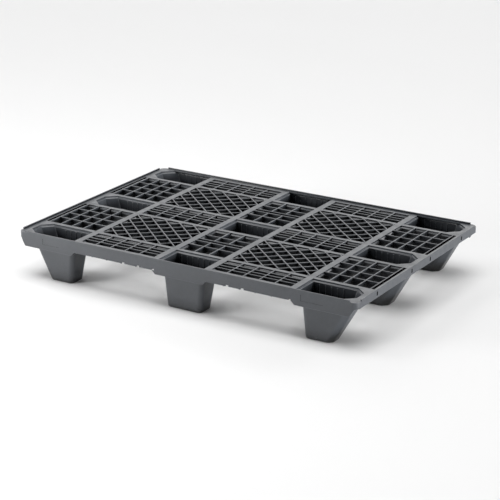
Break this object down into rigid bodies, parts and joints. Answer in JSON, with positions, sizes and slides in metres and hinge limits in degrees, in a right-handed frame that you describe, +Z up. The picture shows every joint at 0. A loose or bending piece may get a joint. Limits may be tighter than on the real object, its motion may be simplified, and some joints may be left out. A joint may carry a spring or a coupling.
{
  "type": "nestable plastic pallet",
  "caption": "Nestable plastic pallet with hollow tapered feet, an open lattice deck, a raised rim and fork entry from all sides.",
  "frame": {"origin": "middle of the footprint on the floor, under the centre foot", "axes": "+X along the 1200 mm long side to the right, +Y towards the rear long side, +Z up"},
  "size_m": [1.2, 0.8, 0.156],
  "materials": {
    "foot_plastic": "fine moulded texture, matt, recycled polyolefin",
    "lattice_plastic": "fine moulded texture, matt, recycled polyolefin",
    "beam_plastic": "fine moulded texture, lightly scuffed on top",
    "skirt_plastic": "fine moulded texture, matt, recycled polyolefin",
    "rim_plastic": "fine moulded texture, rubbed along the top edge"
  },
  "bodies": {
    "root": {"centre_lattice_front": "lattice_plastic", "centre_lattice_rear": "lattice_plastic", "corner_front_left": "skirt_plastic", "corner_front_right": "skirt_plastic", "corner_rear_left": "skirt_plastic", "corner_rear_right": "skirt_plastic", "cross_beam_inner_left": "beam_plastic", "cross_beam_inner_right": "beam_plastic", "cross_beam_outer_left": "beam_plastic", "cross_beam_outer_right": "beam_plastic", "diagonal_lattice_front_left": "lattice_plastic", "diagonal_lattice_front_right": "lattice_plastic", "diagonal_lattice_rear_left": "lattice_plastic", "diagonal_lattice_rear_right": "lattice_plastic", "edge_rail_left": "skirt_plastic", "edge_rail_right": "skirt_plastic", "foot_centre": "foot_plastic", "foot_front_left": "foot_plastic", "foot_front_middle": "foot_plastic", "foot_front_right": "foot_plastic", "foot_middle_left": "foot_plastic", "foot_middle_right": "foot_plastic", "foot_rear_left": "foot_plastic", "foot_rear_middle": "foot_plastic", "foot_rear_right": "foot_plastic", "long_beam_inner_front": "beam_plastic", "long_beam_inner_rear": "beam_plastic", "long_beam_outer_front": "beam_plastic", "long_beam_outer_rear": "beam_plastic", "rim_front": "rim_plastic", "rim_left": "rim_plastic", "rim_rear": "rim_plastic", "rim_right": "rim_plastic", "row_lattice_front_left": "lattice_plastic", "row_lattice_front_right": "lattice_plastic", "row_lattice_middle_left": "lattice_plastic", "row_lattice_middle_right": "lattice_plastic", "row_lattice_rear_left": "lattice_plastic", "row_lattice_rear_right": "lattice_plastic", "side_lattice_front_left": "lattice_plastic", "side_lattice_front_right": "lattice_plastic", "side_lattice_rear_left": "lattice_plastic", "side_lattice_rear_right": "lattice_plastic", "skirt_front": "skirt_plastic", "skirt_rear": "skirt_plastic"}
  },
  "joints": []
}
